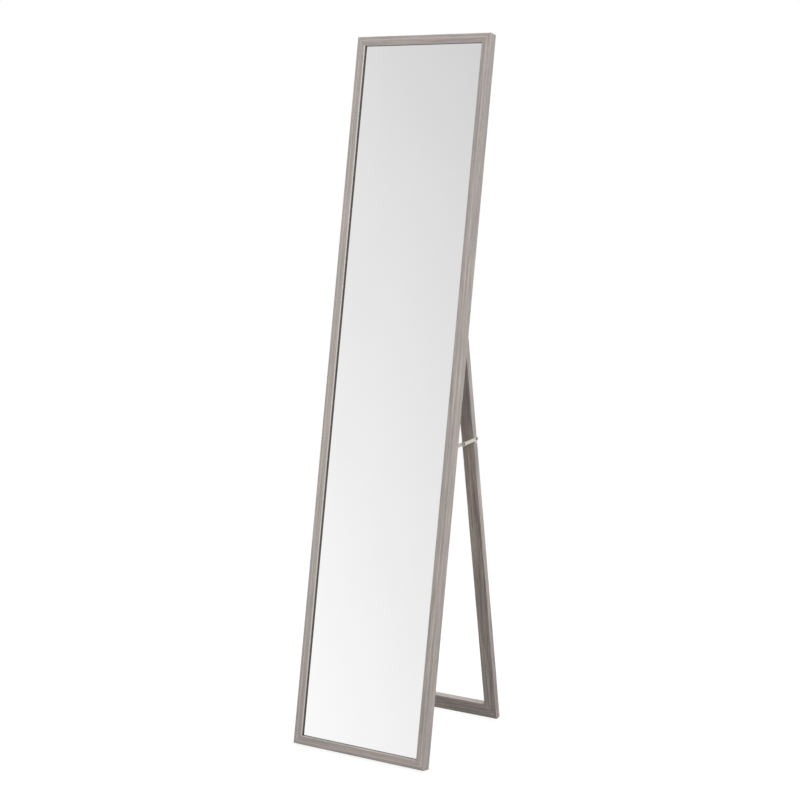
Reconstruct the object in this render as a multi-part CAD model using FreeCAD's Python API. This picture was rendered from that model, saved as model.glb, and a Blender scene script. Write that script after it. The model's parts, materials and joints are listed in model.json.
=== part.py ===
import FreeCAD, Part
import math
import os

os.makedirs("parts", exist_ok=True)

# Floor mirror on a folding rear stand. Lengths are millimetres, angles are degrees.
# Each piece is drawn with the mirror upright and the stand folded flat against it:
# x runs across, n runs backwards out of the mirror, m runs up it.
# The frame's back plane is n = 0 and its bottom edge is m = 0.

# Mirror
mirror_width = 320.0
mirror_length = 1520.0
opening_angle = 20.8

# Frame moulding section, from its outer edge inwards
face_width = 19.4
outer_band = 7.4
outer_drop = 0.4
chamfer_width = 2.0
chamfer_depth = 1.7
lip_depth = 5.9
strip_width = 10.0
outer_arris_round = 1.2
crease_round = 0.6
inner_arris_round = 0.4
back_arris_round = 0.5

# Sheets in the rebate
glass_thickness = 3.0
board_thickness = 2.5
sheet_play = 1.0

# Board points, thin steel tabs driven into the frame over the board's edge
point_length = 14.0
point_driven = 7.0
point_width = 6.0
point_thickness = 0.5
point_end_margin = 90.0
point_stay_margin = 40.0
stile_group_count = 3
rail_point_count = 2

# Corner nails, V-shaped strips driven across each mitre
nail_arm = 5.0
nail_thickness = 0.5
nail_depth = 9.0
frame_nail_inset = 5.0
stand_nail_inset = 9.0
stand_nail_pitch = 10.5
slot_clearance = 0.05

# Hinge rail across the frame's recess
hinge_rail_height = 42.0
rail_end_play = 0.2
rail_arris_round = 0.8
staple_crown = 12.0
staple_leg = 9.0
staple_wire = 0.6
staple_width = 1.2
staple_edge_distance = 10.0

# Butt hinges, with both leaves hanging from the barrel
hinge_height = 930.0
hinge_end_distance = 54.0
closed_gap = 3.0
leaf_length = 27.0
leaf_width = 50.0
leaf_thickness = 1.2
leaf_corner_round = 4.0
barrel_radius = 2.6
barrel_clearance = 0.4
knuckle_gap = 0.2
knuckle_count = 5
pin_radius = 1.25
pin_clearance = 0.05
pin_overhang = 0.5
pin_end_chamfer = 0.3
leaf_screw_pitch = 28.0
leaf_screw_drop = 15.0

# Countersunk screws, whose heads taper through the plate that they hold
screw_head_radius = 2.4
screw_shank_radius = 1.3
screw_tip_length = 2.2
screw_hole_clearance = 0.05
hinge_screw_length = 11.0
bracket_screw_length = 9.5

# Stand
leg_width = 29.0
bar_height = 32.0
stand_thickness = 15.0
stand_arris_round = 1.0

# Folding stays, one each side, in layers outwards from the leg
stand_pivot_drop = 264.1
frame_pivot_drop = 266.8
stay_sag = 1.5
link_width = 8.0
link_thickness = 1.2
bracket_length = 23.0
bracket_width = 11.0
bracket_thickness = 1.0
bracket_corner_round = 2.5
bracket_screw_pitch = 15.0
bracket_board_gap = 0.4
bracket_back_gap = 1.7
bracket_gap = 0.4
link_gap = 0.3
rivet_play = 0.1
stay_side_gap = 0.2
rivet_radius = 1.5
rivet_clearance = 0.05
rivet_shoulder_radius = 2.5
rivet_head_radius = 2.9
rivet_head_height = 0.8
rivet_head_crown_share = 0.55
rivet_head_top_share = 0.6

# How far cutting shapes run past what they cut
overrun = 2.0

# Sizes that follow from the named ones
half_width = mirror_width / 2
recess_depth = bracket_board_gap + bracket_width + bracket_back_gap
frame_depth = lip_depth + glass_thickness + board_thickness + recess_depth
glass_front = lip_depth - frame_depth
glass_back = glass_front + glass_thickness
board_back = glass_back + board_thickness
recess_half_width = half_width - strip_width
sheet_half_width = recess_half_width - sheet_play
sheet_low = strip_width + sheet_play
sheet_high = mirror_length - sheet_low
hinge_offset = recess_half_width - hinge_end_distance
hinge_setback = closed_gap / 2
rail_top = hinge_height - barrel_radius - barrel_clearance
rail_bottom = rail_top - hinge_rail_height
stand_front = closed_gap
stand_back = closed_gap + stand_thickness
stand_top = hinge_height - barrel_radius - barrel_clearance
leaf_top = hinge_height - barrel_radius - knuckle_gap
frame_pivot_inset = bracket_back_gap + bracket_width / 2

frame_bracket_inner = recess_half_width - bracket_thickness
rivet_head_outer = frame_bracket_inner - stay_side_gap
rivet_head_inner = rivet_head_outer - rivet_head_height
rear_link_outer = rivet_head_inner - rivet_play
rear_link_inner = rear_link_outer - link_thickness
front_link_outer = rear_link_inner - link_gap
front_link_inner = front_link_outer - link_thickness
stand_bracket_outer = front_link_inner - bracket_gap
leg_outer = stand_bracket_outer - bracket_thickness

V = FreeCAD.Vector
acrossAxis = V(1, 0, 0)


# A point, in the plane of n and m, turned about the hinge pin as the stand opens
def turned(point, angle, centre):
    a = math.radians(angle)
    n = point[0] - centre[0]
    m = point[1] - centre[1]
    turned_n = n * math.cos(a) - m * math.sin(a)
    turned_m = n * math.sin(a) + m * math.cos(a)
    return (centre[0] + turned_n, centre[1] + turned_m)


def direction(start, end):
    return math.degrees(math.atan2(end[1] - start[1], end[0] - start[0]))


# Where two equal links meet, on the lower side of the line between their outer pivots
def knuckle_place(rear, front, length):
    half = math.hypot(rear[0] - front[0], rear[1] - front[1]) / 2
    drop = math.sqrt(length * length - half * half)
    middle = ((rear[0] + front[0]) / 2, (rear[1] + front[1]) / 2)
    along = ((rear[0] - front[0]) / (2 * half), (rear[1] - front[1]) / (2 * half))
    return (middle[0] + drop * along[1], middle[1] - drop * along[0])


hinge_axis = (hinge_setback, hinge_height)
stand_pivot_closed = (stand_front + stand_thickness / 2, hinge_height - stand_pivot_drop)
stand_pivot_open = turned(stand_pivot_closed, opening_angle, hinge_axis)
frame_pivot = (-frame_pivot_inset, hinge_height - frame_pivot_drop)
pivot_span = math.hypot(stand_pivot_open[0] - frame_pivot[0], stand_pivot_open[1] - frame_pivot[1])
link_length = math.hypot(pivot_span / 2, stay_sag)
knuckle_open = knuckle_place(stand_pivot_open, frame_pivot, link_length)
knuckle_closed = knuckle_place(stand_pivot_closed, frame_pivot, link_length)

# The frame's back edge and the stand's front edge both meet the floor
foot_edge = turned((stand_front, 0), opening_angle, hinge_axis)
lean = math.degrees(math.atan2(foot_edge[1], foot_edge[0]))


# A closed face from corner points, each with its own rounding radius, placed by a function
def rounded_face(corners, place):
    count = len(corners)
    points = []
    for index in range(count):
        u, v, radius = corners[index]
        before = corners[index - 1]
        after = corners[(index + 1) % count]
        back = (before[0] - u, before[1] - v)
        ahead = (after[0] - u, after[1] - v)
        back_size = math.hypot(back[0], back[1])
        ahead_size = math.hypot(ahead[0], ahead[1])
        back = (back[0] / back_size, back[1] / back_size)
        ahead = (ahead[0] / ahead_size, ahead[1] / ahead_size)
        inner_angle = math.acos(back[0] * ahead[0] + back[1] * ahead[1])
        if radius == 0:
            points.append([place(u, v)])
            continue
        run = radius / math.tan(inner_angle / 2)
        reach = radius / math.sin(inner_angle / 2) - radius
        bisector = (back[0] + ahead[0], back[1] + ahead[1])
        bisector_size = math.hypot(bisector[0], bisector[1])
        start = place(u + back[0] * run, v + back[1] * run)
        middle = place(u + bisector[0] * reach / bisector_size, v + bisector[1] * reach / bisector_size)
        end = place(u + ahead[0] * run, v + ahead[1] * run)
        points.append([start, middle, end])
    edges = []
    for index in range(count):
        corner = points[index]
        following = points[(index + 1) % count]
        if len(corner) == 3:
            edges.append(Part.Arc(corner[0], corner[1], corner[2]).toShape())
        edges.append(Part.LineSegment(corner[-1], following[0]).toShape())
    return Part.Face(Part.Wire(edges))


def polygon_face(points):
    return Part.Face(Part.makePolygon(points + [points[0]]))


def mirrored(shape):
    return shape.mirror(V(0, 0, 0), acrossAxis)


# The frame moulding, cut at both ends on its mitres: u runs inwards, t along the piece
def moulding(place, run):
    corners = [
        (0, 0, back_arris_round),
        (0, outer_drop - frame_depth, outer_arris_round),
        (outer_band, -frame_depth, crease_round),
        (face_width - chamfer_width, -frame_depth, crease_round),
        (face_width, chamfer_depth - frame_depth, inner_arris_round),
        (face_width, glass_front, 0),
        (strip_width, glass_front, 0),
        (strip_width, 0, back_arris_round),
    ]
    section = rounded_face(corners, lambda u, n: place(u, n, 0))
    bar = section.extrude(place(0, 0, run) - place(0, 0, 0))
    reach = face_width + overrun
    front = -frame_depth - overrun
    outline = [place(0, front, 0), place(0, front, run)]
    outline += [place(reach, front, run - reach), place(reach, front, reach)]
    trimmer = polygon_face(outline).extrude(V(0, frame_depth + 2 * overrun, 0))
    return bar.common(trimmer)


def frame_stile():
    return moulding(lambda u, n, t: V(half_width - u, n, t), mirror_length)


def frame_rail_top():
    return moulding(lambda u, n, t: V(t - half_width, n, mirror_length - u), mirror_width)


def frame_rail_bottom():
    return moulding(lambda u, n, t: V(t - half_width, n, u), mirror_width)


def sheet(front, thickness):
    size_x = 2 * sheet_half_width
    return Part.makeBox(size_x, thickness, sheet_high - sheet_low, V(-sheet_half_width, front, sheet_low))


# One V-shaped nail, drawn for the bottom right corner: its ridge is on the mitre at x and m,
# one arm runs inwards along the bottom and the other up the side
def corner_nail(x, m, low_n, swell):
    arm = nail_arm + swell
    half_thick = nail_thickness / 2 + swell
    outline = [
        V(x + half_thick, low_n, m - half_thick),
        V(x + half_thick, low_n, m + arm),
        V(x - half_thick, low_n, m + arm),
        V(x - half_thick, low_n, m + half_thick),
        V(x - arm, low_n, m + half_thick),
        V(x - arm, low_n, m - half_thick),
    ]
    return polygon_face(outline).extrude(V(0, nail_depth + swell, 0))


# The same nails at all four corners of a rectangle that starts at m = 0
def at_four_corners(nails, height):
    upper = [nail.mirror(V(0, 0, height / 2), V(0, 0, 1)) for nail in nails]
    return both_sides(nails + upper)


# Driven in from the frame's back plane
def frame_nails(swell):
    nail = corner_nail(half_width - frame_nail_inset, frame_nail_inset, -nail_depth - swell, swell)
    return at_four_corners([nail], mirror_length)


# Driven in from the stand's front face, two to a corner
def stand_nails(swell):
    nails = []
    for inset in (stand_nail_inset, stand_nail_inset + stand_nail_pitch):
        rise = inset * bar_height / leg_width
        nails.append(corner_nail(leg_outer - inset, rise, stand_front, swell))
    return at_four_corners(nails, stand_top)


# Heights of the points on a stile: a group below the stay brackets, one above them,
# and a group above the hinge rail
def stile_point_heights():
    bracket_middle = hinge_height - frame_pivot_drop
    low_end = bracket_middle - bracket_length / 2 - point_stay_margin
    between = (bracket_middle + bracket_length / 2 + rail_bottom) / 2
    high_start = rail_top + point_stay_margin
    high_end = mirror_length - point_end_margin
    heights = [between]
    for index in range(stile_group_count):
        along = index / (stile_group_count - 1)
        heights.append(point_end_margin + along * (low_end - point_end_margin))
        heights.append(high_start + along * (high_end - high_start))
    return sorted(heights)


def board_points(swell):
    tabs = []
    half = point_width / 2 + swell
    thick = point_thickness + swell
    free = point_length - point_driven
    low = board_back
    for m in stile_point_heights():
        for side in (-1, 1):
            inner = side * (recess_half_width - free)
            outer = side * (recess_half_width + point_driven + swell)
            start = min(inner, outer)
            tabs.append(Part.makeBox(abs(outer - inner), thick, 2 * half, V(start, low, m - half)))
    rail_step = mirror_width / (rail_point_count + 1)
    for index in range(rail_point_count):
        x = (index + 1) * rail_step - half_width
        top_inner = mirror_length - strip_width - free
        run = point_length + swell
        bottom_outer = strip_width - point_driven - swell
        tabs.append(Part.makeBox(2 * half, thick, run, V(x - half, low, top_inner)))
        tabs.append(Part.makeBox(2 * half, thick, run, V(x - half, low, bottom_outer)))
    return tabs


def hinge_rail():
    half = recess_half_width - rail_end_play
    corners = [
        (board_back, rail_bottom, 0),
        (board_back, rail_top, 0),
        (0, rail_top, rail_arris_round),
        (0, rail_bottom, rail_arris_round),
    ]
    section = rounded_face(corners, lambda n, m: V(-half, n, m))
    return section.extrude(V(2 * half, 0, 0))


# Flat-wire staples, one leg in the stile and the other in the hinge rail
def rail_staples(swell):
    staples = []
    half = staple_width / 2 + swell
    reach = staple_crown / 2
    wire = staple_wire + swell
    for side in (-1, 1):
        for m in (rail_bottom + staple_edge_distance, rail_top - staple_edge_distance):
            centre = side * recess_half_width
            crown = Part.makeBox(2 * reach, staple_wire, 2 * half, V(centre - reach, 0, m - half))
            for leg_side in (-1, 1):
                edge = centre + leg_side * reach
                start = min(edge, edge - leg_side * wire)
                length = staple_leg + swell
                leg = Part.makeBox(wire, length, 2 * half, V(start, -length, m - half))
                crown = crown.fuse(leg)
            staples.append(crown.removeSplitter())
    return staples


# A solid turned about an axis from its (radius, depth) corners, starting on the axis at a point
def turned_solid(point, axis, corners):
    side = V(0, 0, 1)
    ring = [point + side * radius + axis * depth for radius, depth in corners]
    return polygon_face(ring).revolve(point, axis, 360)


# A countersunk screw: the head's flat face is at the point, and its taper ends behind the plate
def screw(point, axis, plate, length):
    head = screw_head_radius
    shank = screw_shank_radius
    corners = [(0, 0), (head, 0), (shank, plate), (shank, length - screw_tip_length), (0, length)]
    return turned_solid(point, axis, corners)


def screw_hole(point, axis, plate, length):
    head = screw_head_radius + screw_hole_clearance
    shank = screw_shank_radius + screw_hole_clearance
    depth = length + screw_hole_clearance
    corners = [(0, 0), (head, 0), (shank, plate), (shank, depth), (0, depth)]
    return turned_solid(point, axis, corners)


def leaf_screw_places():
    places = []
    m = hinge_height - leaf_screw_drop
    for side in (-1, 1):
        for step in (-1, 1):
            places.append((side * hinge_offset + step * leaf_screw_pitch / 2, m))
    return places


# Screws, or their holes, as the making function says
def hinge_frame_screws(make):
    shapes = []
    for x, m in leaf_screw_places():
        shapes.append(make(V(x, leaf_thickness, m), V(0, -1, 0), leaf_thickness, hinge_screw_length))
    return shapes


def hinge_stand_screws(make):
    shapes = []
    for x, m in leaf_screw_places():
        head_face = V(x, closed_gap - leaf_thickness, m)
        shapes.append(make(head_face, V(0, 1, 0), leaf_thickness, hinge_screw_length))
    return shapes


def across_cylinder(radius, low, high, place):
    return Part.makeCylinder(radius, high - low, V(low, place[0], place[1]), acrossAxis)


# The knuckles that belong to one leaf: even places for the frame leaf, odd ones for the stand leaf
def knuckle_spans(parity):
    pitch = leaf_width / knuckle_count
    spans = []
    for index in range(knuckle_count):
        if index % 2 == parity:
            low = index * pitch - leaf_width / 2
            spans.append((low, low + pitch))
    return spans


# The plate stops short of the other leaf's knuckles, and a neck joins it to each of its own
def hinge_leaf(parity, front):
    half = leaf_width / 2
    corners = [
        (-half, hinge_height - leaf_length, leaf_corner_round),
        (half, hinge_height - leaf_length, leaf_corner_round),
        (half, leaf_top, 0),
        (-half, leaf_top, 0),
    ]
    leaf = rounded_face(corners, lambda x, m: V(x, front, m)).extrude(V(0, leaf_thickness, 0))
    for low, high in knuckle_spans(parity):
        start = low if low == -half else low + knuckle_gap / 2
        end = high if high == half else high - knuckle_gap / 2
        neck_low = leaf_top - leaf_thickness
        neck = Part.makeBox(end - start, leaf_thickness, hinge_height - neck_low, V(start, front, neck_low))
        leaf = leaf.fuse(neck).fuse(across_cylinder(barrel_radius, start, end, hinge_axis))
    bore = across_cylinder(pin_radius + pin_clearance, -half - overrun, half + overrun, hinge_axis)
    return leaf.cut(bore).removeSplitter()


def hinge_pin():
    reach = leaf_width / 2 + pin_overhang
    pin = across_cylinder(pin_radius, -reach, reach, hinge_axis)
    ends = [edge for edge in pin.Edges if len(edge.Vertexes) == 1 and edge.Length < leaf_width]
    return pin.makeChamfer(pin_end_chamfer, ends)


# A stand member with rounded arrises, cut at both ends on its mitres
def stand_member(place, run, width, end_run):
    corners = [
        (0, stand_front, stand_arris_round),
        (width, stand_front, stand_arris_round),
        (width, stand_back, stand_arris_round),
        (0, stand_back, stand_arris_round),
    ]
    section = rounded_face(corners, lambda u, n: place(u, n, 0))
    bar = section.extrude(place(0, 0, run) - place(0, 0, 0))
    past = (width + overrun) / width
    front = stand_front - overrun
    outline = [place(0, front, 0), place(0, front, run)]
    outline += [place(width * past, front, run - end_run * past), place(width * past, front, end_run * past)]
    trimmer = polygon_face(outline).extrude(V(0, stand_thickness + 2 * overrun, 0))
    return bar.common(trimmer)


def stand_leg():
    return stand_member(lambda u, n, t: V(leg_outer - u, n, t), stand_top, leg_width, bar_height)


def stand_top_bar():
    run = 2 * leg_outer
    return stand_member(lambda u, n, t: V(t - leg_outer, n, stand_top - u), run, bar_height, leg_width)


def stand_bottom_bar():
    run = 2 * leg_outer
    return stand_member(lambda u, n, t: V(t - leg_outer, n, u), run, bar_height, leg_width)


# Brackets: small plates with a rivet hole between two countersunk screws, long way along m
def bracket(inner, centre):
    half_long = bracket_length / 2
    half_wide = bracket_width / 2
    corners = [
        (centre[0] - half_wide, centre[1] - half_long, bracket_corner_round),
        (centre[0] + half_wide, centre[1] - half_long, bracket_corner_round),
        (centre[0] + half_wide, centre[1] + half_long, bracket_corner_round),
        (centre[0] - half_wide, centre[1] + half_long, bracket_corner_round),
    ]
    plate = rounded_face(corners, lambda n, m: V(inner, n, m)).extrude(V(bracket_thickness, 0, 0))
    hole = across_cylinder(rivet_radius + rivet_clearance, inner - overrun, inner + overrun, centre)
    return plate.cut(hole)


def bracket_screws(face, centre, axis, make):
    shapes = []
    for step in (-1, 1):
        m = centre[1] + step * bracket_screw_pitch / 2
        shapes.append(make(V(face, centre[0], m), axis, bracket_thickness, bracket_screw_length))
    return shapes


def stand_bracket_screws(make):
    return bracket_screws(stand_bracket_outer, stand_pivot_closed, V(-1, 0, 0), make)


def frame_bracket_screws(make):
    return bracket_screws(frame_bracket_inner, frame_pivot, V(1, 0, 0), make)


# A flat link with round ends, from one pivot to the other
def link(inner, start, end):
    angle = direction(start, end)
    half = link_width / 2
    corners = [(0, -half), (link_length, -half), (link_length, half), (0, half)]

    def place(along, side):
        n, m = turned((start[0] + along, start[1] + side), angle, start)
        return V(inner, n, m)

    edges = [
        Part.LineSegment(place(*corners[0]), place(*corners[1])).toShape(),
        Part.Arc(place(*corners[1]), place(link_length + half, 0), place(*corners[2])).toShape(),
        Part.LineSegment(place(*corners[2]), place(*corners[3])).toShape(),
        Part.Arc(place(*corners[3]), place(-half, 0), place(*corners[0])).toShape(),
    ]
    plate = Part.Face(Part.Wire(edges)).extrude(V(link_thickness, 0, 0))
    for pivot in (start, end):
        hole = across_cylinder(rivet_radius + rivet_clearance, inner - overrun, inner + overrun, pivot)
        plate = plate.cut(hole)
    return plate


# A rivet turned about its own axis: straight steps of (place across, radius), then a head
# with a straight rim and a sloped crown
def turned_rivet(steps, head_base, head_tip, place):
    crown_base = head_tip - (head_tip - head_base) * rivet_head_crown_share
    top_radius = rivet_head_radius * rivet_head_top_share
    head = [(head_base, rivet_head_radius), (crown_base, rivet_head_radius), (head_tip, top_radius)]
    outline = [(steps[0][0], 0)] + steps + head + [(head_tip, 0)]
    corners = [(radius, x) for x, radius in outline]
    return turned_solid(V(0, place[0], place[1]), acrossAxis, corners)


# The rivet that holds the rear link on the stand's bracket
def stand_rivet():
    shoulder_end = rear_link_inner - rivet_play
    steps = [
        (leg_outer, rivet_radius),
        (stand_bracket_outer, rivet_radius),
        (stand_bracket_outer, rivet_shoulder_radius),
        (shoulder_end, rivet_shoulder_radius),
        (shoulder_end, rivet_radius),
        (rivet_head_inner, rivet_radius),
    ]
    return turned_rivet(steps, rivet_head_inner, rivet_head_outer, stand_pivot_open)


# The rivet that holds the front link on the frame's bracket
def frame_rivet():
    shoulder_start = front_link_outer + rivet_play
    tail_base = front_link_inner - rivet_play
    steps = [
        (recess_half_width, rivet_radius),
        (frame_bracket_inner, rivet_radius),
        (frame_bracket_inner, rivet_shoulder_radius),
        (shoulder_start, rivet_shoulder_radius),
        (shoulder_start, rivet_radius),
        (tail_base, rivet_radius),
    ]
    return turned_rivet(steps, tail_base, tail_base - rivet_head_height, frame_pivot)


# The knuckle rivet in two halves, one on each link, with the layer between the links left clear
def knuckle_rivet_head():
    steps = [(rear_link_inner, rivet_radius), (rear_link_outer, rivet_radius)]
    return turned_rivet(steps, rear_link_outer, rivet_head_outer, knuckle_open)


def knuckle_rivet_tail():
    steps = [(front_link_outer, rivet_radius), (front_link_inner, rivet_radius)]
    tail_tip = front_link_inner - rivet_play - rivet_head_height
    return turned_rivet(steps, front_link_inner, tail_tip, knuckle_open)


# Cutting many tools out of a piece, skipping those that don't reach it
def relieved(piece, tools):
    near = [tool for tool in tools if piece.BoundBox.intersect(tool.BoundBox)]
    return piece.cut(near) if near else piece


def both_sides(shapes):
    return shapes + [mirrored(shape) for shape in shapes]


def opened(shape):
    turned_shape = shape.copy()
    turned_shape.rotate(V(0, hinge_axis[0], hinge_axis[1]), acrossAxis, opening_angle)
    return turned_shape


def leaned(shape):
    leaned_shape = shape.copy()
    leaned_shape.rotate(V(0, 0, 0), acrossAxis, -lean)
    return leaned_shape


def leaned_point(point):
    return turned(point, -lean, (0, 0))


def add_frame(nodes):
    cutters = frame_nails(slot_clearance) + board_points(slot_clearance) + rail_staples(slot_clearance)
    cutters += both_sides(frame_bracket_screws(screw_hole))
    nodes["frame_stile_left"] = relieved(mirrored(frame_stile()), cutters)
    nodes["frame_stile_right"] = relieved(frame_stile(), cutters)
    nodes["frame_rail_top"] = relieved(frame_rail_top(), cutters)
    nodes["frame_rail_bottom"] = relieved(frame_rail_bottom(), cutters)
    nodes["mirror_glass"] = sheet(glass_front, glass_thickness)
    nodes["back_board"] = sheet(glass_back, board_thickness)
    nodes["frame_corner_nails"] = Part.Compound(frame_nails(0))
    nodes["board_points"] = Part.Compound(board_points(0))
    rail_cutters = rail_staples(slot_clearance) + hinge_frame_screws(screw_hole)
    nodes["hinge_rail"] = relieved(hinge_rail(), rail_cutters)
    nodes["hinge_rail_staples"] = Part.Compound(rail_staples(0))


def add_hinges(nodes):
    for name, side in (("left", -1), ("right", 1)):
        shift = V(side * hinge_offset, 0, 0)
        frame_leaf = hinge_leaf(0, 0).translated(shift)
        stand_leaf = hinge_leaf(1, closed_gap - leaf_thickness).translated(shift)
        nodes["hinge_frame_leaf_" + name] = relieved(frame_leaf, hinge_frame_screws(screw_hole))
        nodes["hinge_stand_leaf_" + name] = opened(relieved(stand_leaf, hinge_stand_screws(screw_hole)))
        nodes["hinge_pin_" + name] = hinge_pin().translated(shift)
    nodes["hinge_frame_screws"] = Part.Compound(hinge_frame_screws(screw))
    nodes["hinge_stand_screws"] = opened(Part.Compound(hinge_stand_screws(screw)))


def add_stand(nodes):
    cutters = stand_nails(slot_clearance) + hinge_stand_screws(screw_hole)
    cutters += both_sides(stand_bracket_screws(screw_hole))
    nodes["stand_leg_left"] = opened(relieved(mirrored(stand_leg()), cutters))
    nodes["stand_leg_right"] = opened(relieved(stand_leg(), cutters))
    nodes["stand_top_bar"] = opened(relieved(stand_top_bar(), cutters))
    nodes["stand_bottom_bar"] = opened(relieved(stand_bottom_bar(), cutters))
    nodes["stand_corner_nails"] = opened(Part.Compound(stand_nails(0)))


def add_stays(nodes):
    frame_plate = bracket(frame_bracket_inner, frame_pivot).cut(frame_bracket_screws(screw_hole))
    stand_plate = bracket(leg_outer, stand_pivot_closed).cut(stand_bracket_screws(screw_hole))
    right = {
        "stay_frame_bracket_": frame_plate,
        "stay_stand_bracket_": opened(stand_plate),
        "front_link_": link(front_link_inner, frame_pivot, knuckle_open),
        "rear_link_": link(rear_link_inner, stand_pivot_open, knuckle_open),
        "frame_rivet_": frame_rivet(),
        "stand_rivet_": stand_rivet(),
        "knuckle_rivet_head_": knuckle_rivet_head(),
        "knuckle_rivet_tail_": knuckle_rivet_tail(),
    }
    for name, shape in right.items():
        nodes[name + "left"] = mirrored(shape)
        nodes[name + "right"] = shape
    nodes["stay_frame_screws"] = Part.Compound(both_sides(frame_bracket_screws(screw)))
    nodes["stay_stand_screws"] = opened(Part.Compound(both_sides(stand_bracket_screws(screw))))


def report_joints(shift):
    places = {
        "stand_fold": hinge_axis,
        "rear link pivot": stand_pivot_open,
        "front link pivot": frame_pivot,
        "knuckle": knuckle_open,
        "frame's back bottom edge": (0, 0),
        "stand's foot edge": foot_edge,
    }
    for name, point in places.items():
        y, z = leaned_point(point)
        print(name, "y", round(y + shift.y, 4), "z", round(z + shift.z, 4))
    rear_open = direction(stand_pivot_open, knuckle_open) - opening_angle
    rear_closed = direction(stand_pivot_closed, knuckle_closed)
    front_open = direction(frame_pivot, knuckle_open)
    front_closed = direction(frame_pivot, knuckle_closed)
    print("lean", round(lean, 4), "link length", round(link_length, 4), "leg outer x", round(leg_outer, 4))
    print("rear link turn", round((rear_closed - rear_open) % 360, 4))
    print("front link turn", round((front_open - front_closed) % 360, 4))


def main():
    nodes = {}
    add_frame(nodes)
    add_hinges(nodes)
    add_stand(nodes)
    add_stays(nodes)
    placed = {name: leaned(shape) for name, shape in nodes.items()}
    box = Part.Compound(list(placed.values())).BoundBox
    shift = V(-(box.XMin + box.XMax) / 2, -(box.YMin + box.YMax) / 2, -box.ZMin)
    for name, shape in placed.items():
        shape.translate(shift)
        shape.exportStep("parts/" + name + ".step")
        print(name, len(shape.Solids), "solids", round(shape.Volume, 1), "mm3", shape.isValid())
    print("size", [round(v, 2) for v in (box.XLength, box.YLength, box.ZLength)])
    report_joints(shift)


main()
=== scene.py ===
import json
import math

import bmesh
import bpy
from mathutils import Matrix, Vector

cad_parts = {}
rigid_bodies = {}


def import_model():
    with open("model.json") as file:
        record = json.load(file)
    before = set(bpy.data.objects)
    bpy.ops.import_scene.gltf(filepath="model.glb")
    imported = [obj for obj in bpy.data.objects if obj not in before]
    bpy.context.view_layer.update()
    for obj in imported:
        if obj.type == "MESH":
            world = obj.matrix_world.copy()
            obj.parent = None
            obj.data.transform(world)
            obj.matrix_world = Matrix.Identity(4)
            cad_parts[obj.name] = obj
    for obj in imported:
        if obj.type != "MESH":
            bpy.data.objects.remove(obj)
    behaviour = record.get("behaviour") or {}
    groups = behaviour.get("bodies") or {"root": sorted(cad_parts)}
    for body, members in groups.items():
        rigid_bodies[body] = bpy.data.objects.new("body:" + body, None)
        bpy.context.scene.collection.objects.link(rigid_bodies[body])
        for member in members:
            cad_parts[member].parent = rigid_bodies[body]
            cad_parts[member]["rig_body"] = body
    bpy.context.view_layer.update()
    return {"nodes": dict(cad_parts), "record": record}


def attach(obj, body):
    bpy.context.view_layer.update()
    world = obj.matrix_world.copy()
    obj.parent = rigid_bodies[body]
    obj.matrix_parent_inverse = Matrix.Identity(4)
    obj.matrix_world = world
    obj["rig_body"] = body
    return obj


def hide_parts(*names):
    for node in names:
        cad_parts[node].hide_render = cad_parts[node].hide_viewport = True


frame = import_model()
nodes = frame["nodes"]
print("frame loaded:", len(nodes), "nodes")

# All lengths are metres and all angles degrees, unless a line says otherwise.


# Places on the two leaning parts

footings = {
    "mirror": {"mount": "frame_foot", "toEdge": 0.01225},  # half the moulding's depth, back to its lower edge
    "stand": {"mount": "stand_foot", "toEdge": -0.0075},  # half the leg's thickness, forward to its lower edge
}


# A part's own axes as a matrix: x across, y backwards out of it, z up along it, from the edge it stands on
def leaningPart(mount, toEdge):
    found = next(m for m in frame["record"]["mounts"] if m["name"] == mount)
    lean = math.atan2(-found["axis"][1], -found["axis"][2])
    turn = Matrix.Rotation(-lean, 4, "X")
    edge = Vector(found["pos_m"]) + turn.to_3x3() @ Vector((0, toEdge, 0))
    return Matrix.Translation(edge) @ turn


parts = {name: leaningPart(**settings) for name, settings in footings.items()}


# Lowest and highest corner of a node in its part's own axes
def localBox(nodeName, part):
    toLocal = parts[part].inverted()
    points = [toLocal @ vertex.co for vertex in nodes[nodeName].data.vertices]
    low = Vector([min(p[i] for p in points) for i in range(3)])
    high = Vector([max(p[i] for p in points) for i in range(3)])
    return low, high


stileLow, stileHigh = localBox("frame_stile_right", "mirror")
legHigh = localBox("stand_leg_right", "stand")[1]


# Colours and shader nodes

# A colour read off a screen, 0 to 255, as the linear values that shaders take
def screenColour(red, green, blue):
    values = []
    for level in (red, green, blue):
        c = level / 255
        values.append(c / 12.92 if c <= 0.04045 else ((c + 0.055) / 1.055) ** 2.4)
    return (*values, 1.0)


def plug(tree, value, socket):
    if isinstance(value, bpy.types.NodeSocket):
        tree.links.new(value, socket)
    else:
        socket.default_value = value


def addNode(tree, kind, inputs=None, **settings):
    node = tree.nodes.new(kind)
    for key, value in settings.items():
        setattr(node, key, value)
    for key, value in (inputs or {}).items():
        plug(tree, value, node.inputs[key])
    return node


def calc(tree, operation, a, b=0.0, c=0.0):
    return addNode(tree, "ShaderNodeMath", {0: a, 1: b, 2: c}, operation=operation).outputs[0]


def times(tree, a, b):
    return calc(tree, "MULTIPLY", a, b)


def minus(tree, a, b):
    return calc(tree, "SUBTRACT", a, b)


# These two give 1 where the value is past the limit, and 0 elsewhere
def above(tree, value, limit):
    return calc(tree, "GREATER_THAN", value, limit)


def below(tree, value, limit):
    return calc(tree, "LESS_THAN", value, limit)


# 1 where the mask is 0, and the share given where it is 1
def shareWhere(tree, mask, share):
    return calc(tree, "MULTIPLY_ADD", mask, share - 1.0, 1.0)


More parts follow.
